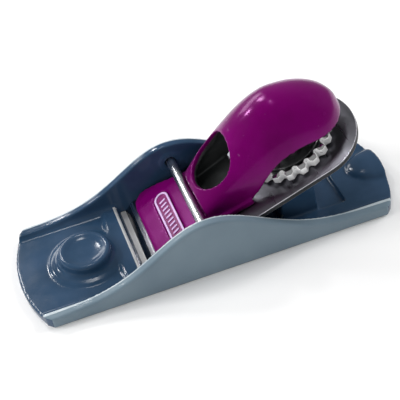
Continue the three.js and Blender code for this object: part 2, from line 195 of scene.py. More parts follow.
def closed_rings(name, rings):
    """A closed skin through rings of equal length, with a face over the first and the last."""
    count = len(rings[0])
    points = [point for ring in rings for point in ring]
    faces = [list(range(count)), list(range(len(points) - count, len(points)))]
    for row in range(len(rings) - 1):
        for i in range(count):
            j = (i + 1) % count
            a = row * count
            b = a + count
            faces.append([a + i, a + j, b + j, b + i])
    return shape(name, points, faces)


def plate(name, outline, low, high):
    return closed_rings(name, [[(x, y, z) for x, y in outline] for z in (low, high)])


def prism(name, outline, half_width):
    return closed_rings(name, [[(x, y, z) for x, z in outline] for y in (-half_width, half_width)])


def box(name, low, high):
    outline = [(low[0], low[1]), (high[0], low[1]), (high[0], high[1]), (low[0], high[1])]
    return plate(name, outline, low[2], high[2])


def turned(name, profile, steps=96, radius_at=None):
    """A solid of revolution about z. The profile starts and ends on the axis."""
    rings = []
    for radius, height in profile[1:-1]:
        ring = []
        for i in range(steps):
            angle = 2 * math.pi * i / steps
            reach = radius_at(radius, height, angle) if radius_at else radius
            ring.append((reach * math.cos(angle), reach * math.sin(angle), height))
        rings.append(ring)
    points = [(0, 0, profile[0][1])]
    points += [point for ring in rings for point in ring]
    points += [(0, 0, profile[-1][1])]
    faces = []
    for i in range(steps):
        j = (i + 1) % steps
        faces.append([0, 1 + j, 1 + i])
        for row in range(len(rings) - 1):
            a = 1 + row * steps
            b = a + steps
            faces.append([a + i, a + j, b + j, b + i])
        last = 1 + (len(rings) - 1) * steps
        faces.append([last + i, last + j, len(points) - 1])
    return shape(name, points, faces)


def softened(profile, radius, steps=3):
    """The profile with each inner corner replaced by a small arc-like curve."""
    result = [profile[0]]
    for before, corner, after in zip(profile, profile[1:], profile[2:]):
        corner_point = Vector(corner)
        arm_in = Vector(before) - corner_point
        arm_out = Vector(after) - corner_point
        reach = min(radius, arm_in.length * 0.45, arm_out.length * 0.45)
        start = corner_point + arm_in.normalized() * reach
        end = corner_point + arm_out.normalized() * reach
        for i in range(steps + 1):
            t = i / steps
            point = start * (1 - t) ** 2 + corner_point * 2 * t * (1 - t) + end * t * t
            result.append((point.x, point.y))
    result.append(profile[-1])
    return result


def moved(obj, matrix):
    obj.data.transform(matrix)
    return obj


def settle(obj):
    """Applies the modifiers."""
    depsgraph = bpy.context.evaluated_depsgraph_get()
    mesh = bpy.data.meshes.new_from_object(obj.evaluated_get(depsgraph))
    mesh.materials.clear()
    obj.modifiers.clear()
    obj.data = mesh
    return obj


def combine(target, tool, operation):
    modifier = target.modifiers.new("combine", "BOOLEAN")
    modifier.operation = operation
    modifier.solver = "MANIFOLD"
    modifier.object = tool
    settle(target)
    bpy.data.objects.remove(tool)
    return target


def add(target, *tools):
    for tool in tools:
        combine(target, tool, "UNION")
    return target


def cut(target, *tools):
    for tool in tools:
        combine(target, tool, "DIFFERENCE")
    return target


def keep(target, tool):
    return combine(target, tool, "INTERSECT")


def cast_skin(obj, voxel, passes):
    """One even skin over the whole solid, with every corner drawn into a small fillet."""
    remesh = obj.modifiers.new("skin", "REMESH")
    remesh.mode = "VOXEL"
    remesh.voxel_size = voxel
    smooth = obj.modifiers.new("fillets", "SMOOTH")
    smooth.factor = 0.5
    smooth.iterations = passes
    return settle(obj)


def bevelled(obj, width, segments=2, angle=25):
    bevel = obj.modifiers.new("bevel", "BEVEL")
    bevel.width = width
    bevel.segments = segments
    bevel.limit_method = "ANGLE"
    bevel.angle_limit = math.radians(angle)
    return settle(obj)


def finished(obj, materials, body, slot, *nodes, sharp=None):
    """Scales a shape to metres, gives it its finish and its body, and hides the CAD parts that it stands for.
    """
    obj.data.transform(Matrix.Scale(MM, 4))
    for material in materials:
        obj.data.materials.append(material)
    obj.data.shade_smooth()
    if sharp is not None:
        obj.data.set_sharp_from_angle(angle=math.radians(sharp))
    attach(obj, body)
    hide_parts(*nodes)


def paint_faces(obj, index, chosen):
    """Gives material number index to each face whose centre and normal the test accepts."""
    for face in obj.data.polygons:
        if chosen(face.center, face.normal):
            face.material_index = index


# ---------- shader helpers ----------


def new_material(name):
    material = bpy.data.materials.new(name)
    material.use_nodes = True
    return material, material.node_tree, material.node_tree.nodes["Principled BSDF"]


def noise(tree, scale, detail, stretch=(1, 1, 1)):
    coordinates = tree.nodes.new("ShaderNodeTexCoord")
    mapping = tree.nodes.new("ShaderNodeMapping")
    mapping.inputs["Scale"].default_value = stretch
    texture = tree.nodes.new("ShaderNodeTexNoise")
    texture.inputs["Scale"].default_value = scale
    texture.inputs["Detail"].default_value = detail
    tree.links.new(coordinates.outputs["Object"], mapping.inputs["Vector"])
    tree.links.new(mapping.outputs["Vector"], texture.inputs["Vector"])
    return texture.outputs["Fac"]


def spread(tree, source, low, high, to_low=0.0, to_high=1.0):
    node = tree.nodes.new("ShaderNodeMapRange")
    node.inputs["From Min"].default_value = low
    node.inputs["From Max"].default_value = high
    node.inputs["To Min"].default_value = to_low
    node.inputs["To Max"].default_value = to_high
    tree.links.new(source, node.inputs["Value"])
    return node.outputs["Result"]


def mixed(tree, factor, first, second):
    """A colour between first and second, each a colour or another node's output."""
    node = tree.nodes.new("ShaderNodeMix")
    node.data_type = "RGBA"
    tree.links.new(factor, node.inputs["Factor"])
    for socket, value in (("A", first), ("B", second)):
        target = next(s for s in node.inputs if s.name == socket and s.type == "RGBA")
        if isinstance(value, tuple):
            target.default_value = (*value, 1)
        else:
            tree.links.new(value, target)
    return next(s for s in node.outputs if s.type == "RGBA")


def product(tree, first, second):
    node = tree.nodes.new("ShaderNodeMath")
    node.operation = "MULTIPLY"
    tree.links.new(first, node.inputs[0])
    tree.links.new(second, node.inputs[1])
    return node.outputs["Value"]


def edges(tree, low, high):
    """Near 1 on the outer corners of a shape and 0 elsewhere."""
    geometry = tree.nodes.new("ShaderNodeNewGeometry")
    return spread(tree, geometry.outputs["Pointiness"], low, high)


def bump(tree, shader, height, strength, distance):
    node = tree.nodes.new("ShaderNodeBump")
    node.inputs["Strength"].default_value = strength
    node.inputs["Distance"].default_value = distance
    tree.links.new(height, node.inputs["Height"])
    tree.links.new(node.outputs["Normal"], shader.inputs["Normal"])


def gloss_paint(name, deep, light, worn, wear, rough, peel, sheen=(1, 1, 1)):
    """Stoved enamel: two close tints, an orange-peel surface, and thin or rubbed paint along the edges."""
    material, tree, shader = new_material(name)
    clouds = noise(tree, scale=55, detail=4)
    tint = mixed(tree, spread(tree, clouds, 0.35, 0.65), deep, light)
    specks = noise(tree, scale=420, detail=5)
    speck = spread(tree, specks, 0.45, 0.6)
    edge_wear_and_highlight = product(tree, edges(tree, *wear), speck)
    tree.links.new(mixed(tree, edge_wear_and_highlight, tint, worn), shader.inputs["Base Color"])
    haze = noise(tree, scale=130, detail=4)
    tree.links.new(spread(tree, haze, 0.3, 0.7, *rough), shader.inputs["Roughness"])
    shader.inputs["Specular IOR Level"].default_value = 0.35
    shader.inputs["Specular Tint"].default_value = (*sheen, 1)
    shader.inputs["Coat Weight"].default_value = 0.06
    shader.inputs["Coat Roughness"].default_value = 0.08
    orange_peel = noise(tree, scale=620, detail=2)
    bump(tree, shader, orange_peel, peel, 0.00012)
    return material


def ground_metal(name, dark, light, rough, grain, stretch, depth, metallic=1):
    """Ground or brushed metal, with its grain drawn out along one axis."""
    material, tree, shader = new_material(name)
    lines = noise(tree, grain, 4, stretch)
    patches = noise(tree, scale=70, detail=4)
    tree.links.new(mixed(tree, spread(tree, patches, 0.3, 0.7), dark, light), shader.inputs["Base Color"])
    tree.links.new(spread(tree, lines, 0.25, 0.75, *rough), shader.inputs["Roughness"])
    shader.inputs["Metallic"].default_value = metallic
    bump(tree, shader, lines, depth, 0.00008)
    return material


# ---------- body casting ----------


def end_points(tip_x, sagitta, half_width, direction):
    radius = (half_width**2 + sagitta**2) / (2 * sagitta)
    centre_x = tip_x - direction * radius
    reach = math.asin((half_width - CORNER_RADIUS) / radius)
    steps = 60
    points = []
    for i in range(steps + 1):
        angle = reach * (1 - 2 * i / steps)
        points.append((centre_x + direction * radius * math.cos(angle), direction * radius * math.sin(angle)))
    return points


def footprint():
    half = BODY_WIDTH / 2
    toe = end_points(BODY_LENGTH / 2, TOE_SAGITTA, half, 1)
    heel = end_points(-BODY_LENGTH / 2, HEEL_SAGITTA, half, -1)
    toe_side = toe[0][0] - CORNER_RADIUS
    heel_side = heel[0][0] + CORNER_RADIUS
    return [(toe_side, half), *toe, (toe_side, -half), (heel_side, -half), *heel, (heel_side, half)]


def cheek_height(x):
    """A bell curve along the plane, steeper towards the toe than towards the heel."""
    width = CHEEK_SPREAD_TOE if x > CHEEK_PEAK_X else CHEEK_SPREAD_HEEL
    bell = math.exp(-(((x - CHEEK_PEAK_X) / width) ** 2))
    return CHEEK_END_HEIGHT + (CHEEK_PEAK_HEIGHT - CHEEK_END_HEIGHT) * bell


def cheek_side():
    half = BODY_LENGTH / 2 + 1
    steps = 240
    points = [(-half, -1), (half, -1)]
    for i in range(steps + 1):
        x = half - 2 * half * i / steps
        points.append((x, cheek_height(x)))
    return points


def bed_height(x):
    return EDGE_Z + (EDGE_X - x) * math.tan(BED_ANGLE) - GAP / math.cos(BED_ANGLE)


def finger_rest():
    rim = REST_RADIUS - 1.4
    profile = [
        (0, FLOOR_THICKNESS - 1),
        (REST_FLANGE_RADIUS, FLOOR_THICKNESS - 1),
        (REST_FLANGE_RADIUS, FLOOR_THICKNESS + 0.6),
        (REST_RADIUS + 0.9, FLOOR_THICKNESS + 1.1),
        (REST_RADIUS, FLOOR_THICKNESS + 2.2),
        (REST_RADIUS, REST_HEIGHT - 1),
        (REST_RADIUS - 0.5, REST_HEIGHT - 0.25),
        (rim, REST_HEIGHT),
        (rim * 0.75, REST_HEIGHT - REST_DISH_DEPTH * 0.7),
        (rim * 0.4, REST_HEIGHT - REST_DISH_DEPTH),
        (0, REST_HEIGHT - REST_DISH_DEPTH),
    ]
    return moved(turned("rest", softened(profile, 0.8), 128), Matrix.Translation((REST_X, 0, 0)))


def mouth_land():
    """The raised land ahead of the mouth, whose front edge bows towards the toe."""
    half = INNER_HALF + 1
    steps = 24
    outline = [(MOUTH_REAR_X, -half)]
    for i in range(steps + 1):
        y = -half + 2 * half * i / steps
        outline.append((MOUTH_LAND_X + MOUTH_LAND_BULGE * (1 - (y / half) ** 2), y))
    outline.append((MOUTH_REAR_X, half))
    return plate("land", outline, FLOOR_THICKNESS - 1, FLOOR_THICKNESS + MOUTH_LAND_RISE)


def front_bed():
    foot_x = FRONT_BED_REAR_X - 2
    side = [
        (MOUTH_REAR_X, 0),
        (MOUTH_REAR_X, bed_height(MOUTH_REAR_X)),
        (FRONT_BED_REAR_X, bed_height(FRONT_BED_REAR_X)),
        (foot_x, FLOOR_THICKNESS - 1),
        (foot_x, 0),
    ]
    return prism("front_bed", side, INNER_HALF + 0.5)


def cutter_seat():
    """The space above the front bed, cleared for the cutter."""
    front_x = MOUTH_REAR_X + 1
    above = CHEEK_PEAK_HEIGHT + 1
    side = [
        (front_x, bed_height(front_x)),
        (front_x, above),
        (SEAT_REAR_X, above),
        (SEAT_REAR_X, bed_height(SEAT_REAR_X)),
    ]
    return prism("seat", side, INNER_HALF)


def rear_bed():
    """The pillar under the cutter's tail, wider at its foot."""
    side = [
        (REAR_BED_FRONT_X, bed_height(REAR_BED_FRONT_X)),
        (REAR_BED_REAR_X, bed_height(REAR_BED_REAR_X)),
        (REAR_BED_REAR_X - 2, 1),
        (REAR_BED_FRONT_X + 2, 1),
    ]
    return prism("rear_bed", side, REAR_BED_HALF)


def wall_fillet(side, start_x, end_x):
    """The casting's fillet between its floor and a cheek, no taller than the cheek."""
    corner = [
        (0.5, -1),
        (-WALL_FILLET, -1),
        (-WALL_FILLET, 0),
        (-WALL_FILLET_HOLLOW, WALL_FILLET_HOLLOW),
        (0, WALL_FILLET),
        (0.5, WALL_FILLET),
    ]
    outline = [(side * (INNER_HALF + y), FLOOR_THICKNESS + z) for y, z in corner]
    fillet = closed_rings("wall_fillet", [[(x, y, z) for y, z in outline] for x in (start_x, end_x)])
    return keep(fillet, prism("cheeks", cheek_side(), BODY_WIDTH))


def tail_boss():
    """A flattened ball at the middle of the heel's edge. Its inner, upper part is the raised tail."""
    steps = 24
    arc = [(math.sin(math.pi * i / steps), -math.cos(math.pi * i / steps)) for i in range(1, steps)]
    boss = turned("tail", [(0, -1), *arc, (0, 1)], 64)
    size = Matrix.Diagonal((TAIL_LENGTH, TAIL_HALF_WIDTH, TAIL_RISE, 1))
    return moved(boss, Matrix.Translation((-BODY_LENGTH / 2, 0, FLOOR_THICKNESS)) @ size)


def across(name, radius, reach):
    """A round bar across the plane on the pin's line, from y = -reach to y = +reach."""
    bar = turned(name, [(0, -reach), (radius, -reach), (radius, reach), (0, reach)], 64)
    return moved(bar, PIN_PLACE)


def pin_boss(side):
    half_length = (PIN_BOSS_PROUD + 1) / 2
    middle = side * (INNER_HALF + 1 - half_length)
    return moved(across("boss", PIN_BOSS_RADIUS, half_length), Matrix.Translation((0, middle, 0)))


def mouth():
    """Narrow at the sole, with a front wall that leans towards the toe."""
    top = FLOOR_THICKNESS + 6
    outline = [
        (MOUTH_REAR_X, -1),
        (MOUTH_SOLE_X, -1),
        (MOUTH_SOLE_X, MOUTH_LIP_HEIGHT),
        (MOUTH_FRONT_X, FLOOR_THICKNESS + MOUTH_LAND_RISE),
        (MOUTH_FRONT_X, top),
        (MOUTH_REAR_X, top),
    ]
    return prism("mouth", outline, INNER_HALF - 0.1)


def body_casting():
    end_x = BODY_LENGTH / 2 + 1
    above = CHEEK_PEAK_HEIGHT + 1
    casting = plate("body_casting_skin", footprint(), 0, above)
    keep(casting, prism("cheeks", cheek_side(), BODY_WIDTH))
    well = box("well", (-end_x, -INNER_HALF, FLOOR_THICKNESS), (end_x, INNER_HALF, above + 1))
    pocket_low = (POCKET_REAR_X, -POCKET_HALF, POCKET_FLOOR)
    pocket_high = (POCKET_FRONT_X, POCKET_HALF, FLOOR_THICKNESS + 1)
    cut(casting, well, box("pocket", pocket_low, pocket_high))
    for side in (1, -1):
        add(casting, wall_fillet(side, MOUTH_FRONT_X, end_x), wall_fillet(side, -end_x, 0))
    add(casting, front_bed(), rear_bed(), mouth_land(), finger_rest(), tail_boss())
    keep(casting, plate("trim", footprint(), 0, above))
    cut(casting, cutter_seat())
    add(casting, pin_boss(1), pin_boss(-1))
    hole = across("hole", PIN_RADIUS + GAP, INNER_HALF + PIN_BLIND_DEPTH + GAP)
    cut(casting, mouth(), hole)
    return cast_skin(casting, voxel=0.5, passes=5)


def on_cheek_side(place, normal):
    """The outer side of either cheek."""
    return abs(place.y) > BODY_WIDTH / 2 - 0.35 and abs(normal.y) > 0.6


def on_cheek_top(place, normal):
    """Most of the left cheek's top and the outer part of the right cheek's top."""
    return normal.z > 0.3 and not -INNER_HALF - 2.2 < place.y < INNER_HALF + 0.3


def on_sole(place, normal):
    return place.z < 0.3 and normal.z < -0.6


def on_mouth_lip(place, normal):
    """The upper edge of the mouth's front wall in pale ground iron: partly the ground lip, partly a painted
    highlight along it.
    """
    land_top = FLOOR_THICKNESS + MOUTH_LAND_RISE
    near_edge = abs(place.x - MOUTH_FRONT_X - 0.1) < 0.75
    return near_edge and abs(place.y) < INNER_HALF - 0.6 and land_top - 0.5 < place.z < land_top + 0.4


def on_painted_highlight_edge(place, normal):
    """A thin painted highlight along the left cheek's inner top corner and the right cheek's outer top
    corner.
    """
    left_inner = INNER_HALF - 0.4 < place.y < INNER_HALF + 0.7
    right_outer = place.y < 1 - BODY_WIDTH / 2
    near_top = place.z > cheek_height(place.x) - 0.9
    return normal.z > 0.2 and near_top and (left_inner or right_outer)


def make_casting():
    paint = gloss_paint(
        "casting_enamel",
        deep=(0.014, 0.042, 0.084),
        light=(0.03, 0.066, 0.126),
        worn=(0.16, 0.2, 0.22),
        wear=(0.54, 0.62),
        rough=(0.12, 0.24),
        peel=0.1,
    )
    # The cheeks' outer sides and tops: a lighter, rougher copy of the enamel. Its extra lightness is partly
    # their satin finish and partly painted reflection of the pale floor and sky.
    sides = gloss_paint(
        "casting_sides",
        deep=(0.13, 0.185, 0.23),
        light=(0.155, 0.215, 0.26),
        worn=(0.45, 0.47, 0.46),
        wear=(0.54, 0.6),
        rough=(0.38, 0.55),
        peel=0.2,
    )
    machined = ground_metal(
        "machined_iron",
        dark=(0.62, 0.64, 0.64),
        light=(0.84, 0.86, 0.86),
        rough=(0.25, 0.45),
        grain=900,
        stretch=(0.15, 1, 1),
        depth=0.3,
        metallic=0.35,
    )
    # Painted highlight: a pale copy of the enamel laid along the cheeks' top corners, standing in for the
    # light that catches them.
    edge_wear_and_highlight = gloss_paint(
        "painted_edge_highlight",
        deep=(0.36, 0.43, 0.47),
        light=(0.52, 0.58, 0.61),
        worn=(0.6, 0.62, 0.62),
        wear=(0.54, 0.6),
        rough=(0.25, 0.4),
        peel=0.15,
    )
    casting = body_casting()
    # The lighter side enamel, partly painted reflection, on the cheeks' sides and tops.
    paint_faces(casting, 1, on_cheek_side)
    paint_faces(casting, 1, on_cheek_top)
    paint_faces(casting, 2, on_sole)
    # Pale ground iron on the mouth's lip, where it is partly a painted highlight.
    paint_faces(casting, 2, on_mouth_lip)
    # The painted highlight strip along the cheeks' top corners.
    paint_faces(casting, 3, on_painted_highlight_edge)
    finished(casting, [paint, sides, machined, edge_wear_and_highlight], "body", "body_paint", "body_casting")


def make_cross_pin():
    steel = ground_metal(
        "pin_steel",
        dark=(0.62, 0.63, 0.66),
        light=(0.8, 0.81, 0.84),
        rough=(0.22, 0.36),
        grain=1400,
        stretch=(1, 0.1, 1),
        depth=0.1,
    )
    reach = INNER_HALF + PIN_BLIND_DEPTH
    chamfer = 0.4
    profile = [
        (0, -reach),
        (PIN_RADIUS - chamfer, -reach),
        (PIN_RADIUS, chamfer - reach),
        (PIN_RADIUS, reach - chamfer),
        (PIN_RADIUS - chamfer, reach),
        (0, reach),
    ]
    pin = moved(turned("cross_pin_turned", softened(profile, 0.15), 64), PIN_PLACE)
    finished(pin, [steel], "body", "pin_steel", "cross_pin", sharp=35)


# ---------- cutter ----------


def cutter_blank():
    """A flat blade with an elliptical rear end, its bevel in two parts: honed below and ground above."""
    half = CUTTER_WIDTH / 2
    centre = CUTTER_END_LENGTH - CUTTER_LENGTH
    steps = 64
    rear = []
    for i in range(steps + 1):
        angle = math.pi / 2 + math.pi * i / steps
        rear.append((centre + CUTTER_END_LENGTH * math.cos(angle), half * math.sin(angle)))
    run = CUTTER_THICKNESS / math.tan(BEVEL_ANGLE)
    rings = []
    for share in (0, HONED_SHARE, 1):
        front_x = -run * share
        height = CUTTER_THICKNESS * share
        ring = [(front_x, -half, height), (front_x, half, height)]
        ring += [(x, y, height) for x, y in rear]
        rings.append(ring)
    return bevelled(closed_rings("cutter_ground", rings), width=0.2)


def on_slope(place, normal):
    """The bevel and the small chamfers round the blade's upper side."""
    return 0.1 < normal.z < 0.97


def on_honed_bevel(place, normal):
    return normal.x > 0.2 and normal.z > 0.1 and place.z < CUTTER_THICKNESS * HONED_SHARE


def on_blade_side(place, normal):
    return abs(normal.z) < 0.1


def make_cutter():
    blued = ground_metal(
        "blued_steel",
        dark=(0.13, 0.14, 0.15),
        light=(0.26, 0.25, 0.29),
        rough=(0.24, 0.42),
        grain=700,
        stretch=(1, 0.06, 1),
        depth=0.3,
    )
    ground = ground_metal(
        "ground_edge",
        dark=(0.6, 0.6, 0.65),
        light=(0.82, 0.8, 0.88),
        rough=(0.2, 0.4),
        grain=1600,
        stretch=(1, 0.05, 1),
        depth=0.4,
    )
    honed = ground_metal(
        "honed_bevel",
        dark=(0.2, 0.2, 0.22),
        light=(0.3, 0.3, 0.32),
        rough=(0.1, 0.2),
        grain=1600,
        stretch=(1, 0.05, 1),
        depth=0.3,
    )
    # Painted shade: the blade's sides in near-black steel, darker than its top, standing in for the shade
    # along them.
    sides = ground_metal(
        "cutter_sides_painted_shade",
        dark=(0.025, 0.027, 0.03),
        light=(0.05, 0.052, 0.056),
        rough=(0.35, 0.55),
        grain=700,
        stretch=(1, 0.06, 1),
        depth=0.3,
    )
    blade = cutter_blank()
    paint_faces(blade, 1, on_slope)
    paint_faces(blade, 2, on_honed_bevel)
    # The blade's sides get the painted-shade steel.
    paint_faces(blade, 3, on_blade_side)
    moved(blade, CUTTER_FRAME)
    finished(blade, [blued, ground, honed, sides], "cutter", "cutter_steel", "cutter", sharp=25)


# ---------- lever cap ----------


def hood_half_width(u):
    if u > HOOD_REAR_U:
        return math.sqrt(max(HOOD_REAR_RADIUS**2 - (u - HOOD_REAR_U) ** 2, 0))
    if u > HOOD_BELLY_U:
        t = (u - HOOD_BELLY_U) / (HOOD_REAR_U - HOOD_BELLY_U)
        return HOOD_BELLY_HALF - (HOOD_BELLY_HALF - HOOD_REAR_RADIUS) * t * t
    t = max((u - HOOD_FRONT_U) / (HOOD_BELLY_U - HOOD_FRONT_U), 0)
    return HOOD_FRONT_HALF + (HOOD_BELLY_HALF - HOOD_FRONT_HALF) * math.sin(t * math.pi / 2)


def away_from_crown(t):
    """From 0 at the crown to 1 at an end, leaving the crown gently."""
    start = HOOD_CROWN_SOFTNESS
    return (math.hypot(t, start) - start) / (math.hypot(1, start) - start)


def hood_top(u):
    if u > HOOD_CROWN_U:
        t = min((u - HOOD_CROWN_U) / (HOOD_END_U - HOOD_CROWN_U), 1)
        fall = math.sqrt(max(1 - away_from_crown(t) ** HOOD_REAR_POWER, 0))
        return HOOD_SHOULDER + (HOOD_CROWN - HOOD_SHOULDER) * fall
    t = (HOOD_CROWN_U - u) / (HOOD_CROWN_U - HOOD_FRONT_U)
    return HOOD_CROWN - HOOD_FRONT_DROP * away_from_crown(t) ** HOOD_FRONT_POWER


def hood_section(u, inset):
    """The half width, shoulder height and rise of the hood's arch at u."""
    half = max(hood_half_width(u) - inset, 0.4)
    top = hood_top(u) - inset
    shoulder = min(HOOD_SHOULDER - 2, top * 0.55)
    return half, shoulder, max(top - shoulder, 0.4)


def hood_loaf(name, start_u, end_u, inset, foot):
    """At each place along u an arch on straight legs, pulled in by inset all round."""
    rows = 110
    arch_steps = 64
    rings = []
    for row in range(rows + 1):
        along = row / rows
        u = start_u + (end_u - start_u) * math.sin(along * math.pi / 2)
        half, shoulder, rise = hood_section(u + inset * along, inset)
        ring = []
        for i in range(arch_steps + 1):
            angle = math.pi * i / arch_steps
            out = math.copysign(abs(math.cos(angle)) ** (2 / HOOD_SECTION_POWER), math.cos(angle))
            up = max(math.sin(angle), 0) ** (2 / HOOD_SECTION_POWER)
            ring.append((-u, half * out, shoulder + rise * up))
        ring += [(-u, -half, foot), (-u, half, foot)]
        rings.append(ring)
    return closed_rings(name, rings)


def hood_eye():
    """The oval hole through the front of the hood."""
    cylinder = turned("eye", [(0, -5), (1, -5), (1, 15), (0, 15)], 96)
    place = Matrix.Translation((-EYE_U, 0, EYE_W)) @ Matrix.Rotation(EYE_TILT, 4, "Y")
    return moved(cylinder, place @ Matrix.Diagonal((EYE_HALF_LENGTH, EYE_HALF_WIDTH, 1, 1)))


def bezier(start, first, second, end, steps):
    """Points after the start of one cubic curve."""
    points = []
    for i in range(1, steps + 1):
        t = i / steps
        weights = ((1 - t) ** 3, 3 * t * (1 - t) ** 2, 3 * t * t * (1 - t), t**3)
        corners = (start, first, second, end)
        points.append(tuple(sum(w * corner[k] for w, corner in zip(weights, corners)) for k in (0, 1)))
    return points


def side_cut():
    """The hood is open on both sides above the wheel, below a lip that arches up from the plate."""
    lip_front = (-38, 2.6)
    lip_top = (-63, 12.8)
    lip_rear = (-95, 8.5)
    side = [(lip_front[0], 0), lip_front]
    side += bezier(lip_front, (-50, 3.5), (-52, 12.7), lip_top, 24)
    side += bezier(lip_top, (-71, 12.9), (-78, 9.2), lip_rear, 24)
    side += [(lip_rear[0], 0)]
    return prism("side_cut", side, 25)


def spline(points, steps):
    """A smooth curve through the points (Catmull-Rom)."""
    ends = [points[0], *points, points[-1]]
    result = []
    for a, b, c, d in zip(ends, ends[1:], ends[2:], ends[3:]):
        for i in range(steps):
            t = i / steps
            point = []
            for k in (0, 1):
                slope = (c[k] - a[k]) * t
                square = (2 * a[k] - 5 * b[k] + 4 * c[k] - d[k]) * t * t
                cube = (3 * b[k] - a[k] - 3 * c[k] + d[k]) * t**3
                point.append(0.5 * (2 * b[k] + slope + square + cube))
            result.append(tuple(point))
    result.append(points[-1])
    return result


def cap_plate():
    """The flat front of the cap, widest ahead of the badge, and the neck that runs back into the hood."""
    half = [
        (-CAP_FRONT_U, 15),
        (-6.2, 18.6),
        (-10, 20.2),
        (-17, 18.2),
        (-CAP_PIN_U, 15),
        (-34, 14.6),
        (-44, 15),
    ]
    edge = spline(half, 12)
    outline = edge + [(x, -y) for x, y in reversed(edge)]
    side = [
        (-CAP_FRONT_U, CAP_UNDER_W),
        (-CAP_FRONT_U, CAP_UNDER_W + 0.6),
        (-CAP_FRONT_U - CAP_NOSE_LENGTH, CAP_FRONT_W),
        (-CAP_PIN_U + CAP_PIN_LAND, CAP_PIN_W),
        (-CAP_PIN_U - 3, CAP_PIN_W),
        (-CAP_PIN_U - 6, CAP_NECK_W),
        (-CAP_REAR_U, CAP_NECK_W),
        (-CAP_REAR_U, CAP_UNDER_W),
    ]
    return keep(plate("cap_plate", outline, 0, 20), prism("cap_side", side, 30))


def badge_outline(grow):
    """A rounded bar across the cap, made larger all round by grow."""
    end = BADGE_WIDTH / 2 + grow
    straight = BADGE_LENGTH / 2 - BADGE_WIDTH / 2
    steps = 24
    outline = []
    for side in (1, -1):
        for i in range(steps + 1):
            angle = math.pi * i / steps
            outline.append((side * end * math.cos(angle), side * (straight + end * math.sin(angle))))
    return outline


def hood_boss():
    """The round boss that comes down from the hood's roof, trimmed to the hood's outside."""
    profile = [(0, BOSS_UNDER_W), (BOSS_RADIUS, BOSS_UNDER_W), (BOSS_RADIUS, HOOD_CROWN), (0, HOOD_CROWN)]
    boss = moved(turned("boss", profile, 64), WHEEL_PLACE)
    return keep(boss, hood_loaf("limit", HOOD_FRONT_U, HOOD_END_U, 0, CAP_UNDER_W))


def stud_bore():
    radius = STUD_RADIUS + GAP
    low = BOSS_UNDER_W - 1
    profile = [(0, low), (radius, low), (radius, BORE_TOP_W), (0, BORE_TOP_W)]
    return moved(turned("bore", profile, 64), WHEEL_PLACE)


def inside_hood(place, normal):
    """True for a spot on the hood's inner face, past the middle of its wall."""
    u = -place.x
    along = HOOD_FRONT_U + HOOD_WALL / 2 < u < HOOD_END_U - HOOD_WALL / 2
    if not along or place.z < 4.2:
        return False
    half, shoulder, rise = hood_section(u, HOOD_WALL * 0.55)
    width_share = abs(place.y) / half
    rise_share = max(place.z - shoulder, 0) / rise
    return width_share**HOOD_SECTION_POWER + rise_share**HOOD_SECTION_POWER < 1


def cap_enamel():
    """Maroon enamel with a coloured gloss and a faint lilac sheen."""
    paint = gloss_paint(
        "cap_enamel",
        deep=(0.115, 0.0, 0.078),
        light=(0.155, 0.0, 0.11),
        worn=(0.25, 0.08, 0.22),
        wear=(0.62, 0.75),
        rough=(0.16, 0.28),
        peel=0.06,
        sheen=(1, 0.12, 0.9),
    )
    shader = paint.node_tree.nodes["Principled BSDF"]
    shader.inputs["Sheen Weight"].default_value = 0.16
    shader.inputs["Sheen Roughness"].default_value = 0.25
    shader.inputs["Sheen Tint"].default_value = (0.75, 0.5, 1, 1)
    return paint


def make_lever_cap():
    paint = cap_enamel()
    # Dark metal inside the hood and on the plate under it: partly the cap's bare inside, partly painted shade
    # of the hollow.
    bare_with_painted_shade = ground_metal(
        "hood_inside_painted_shade",
        dark=(0.06, 0.066, 0.066),
        light=(0.14, 0.15, 0.15),
        rough=(0.25, 0.45),
        grain=160,
        stretch=(1, 1, 1),
        depth=0.3,
        metallic=0.8,
    )
    cap = hood_loaf("lever_cap_skin", HOOD_FRONT_U, HOOD_END_U, 0, CAP_UNDER_W)
    inner = hood_loaf("inner", HOOD_FRONT_U + HOOD_WALL, HOOD_END_U - HOOD_WALL, HOOD_WALL, 0)
    cut(cap, inner, hood_eye(), side_cut())
    add(cap, cap_plate(), hood_boss())
    recess = moved(plate("recess", badge_outline(0.5), -BADGE_RECESS, 4), BADGE_PLACE)
    cut(cap, stud_bore(), recess)
    cast_skin(cap, voxel=0.4, passes=8)
    # Painted shade: the dark inside material on every face within the hood.
    paint_faces(cap, 1, inside_hood)
    moved(cap, CUTTER_FRAME)
    finished(cap, [paint, bare_with_painted_shade], "lever_cap", "cap_paint", "lever_cap")


def badge_bar(y):
    """One short slanting bar, centred near y."""
    outline = [
        (-BADGE_BAR_HALF, y - 0.75),
        (BADGE_BAR_HALF, y - 0.25),
        (BADGE_BAR_HALF, y + 0.45),
        (-BADGE_BAR_HALF, y - 0.05),
    ]
    return plate("bar", outline, -BADGE_RECESS + GAP, BADGE_PROUD)


def badge_ring():
    ring = plate("ring", badge_outline(0), -BADGE_RECESS + GAP, BADGE_PROUD)
    return cut(ring, plate("inside", badge_outline(-0.75), -1, 1))


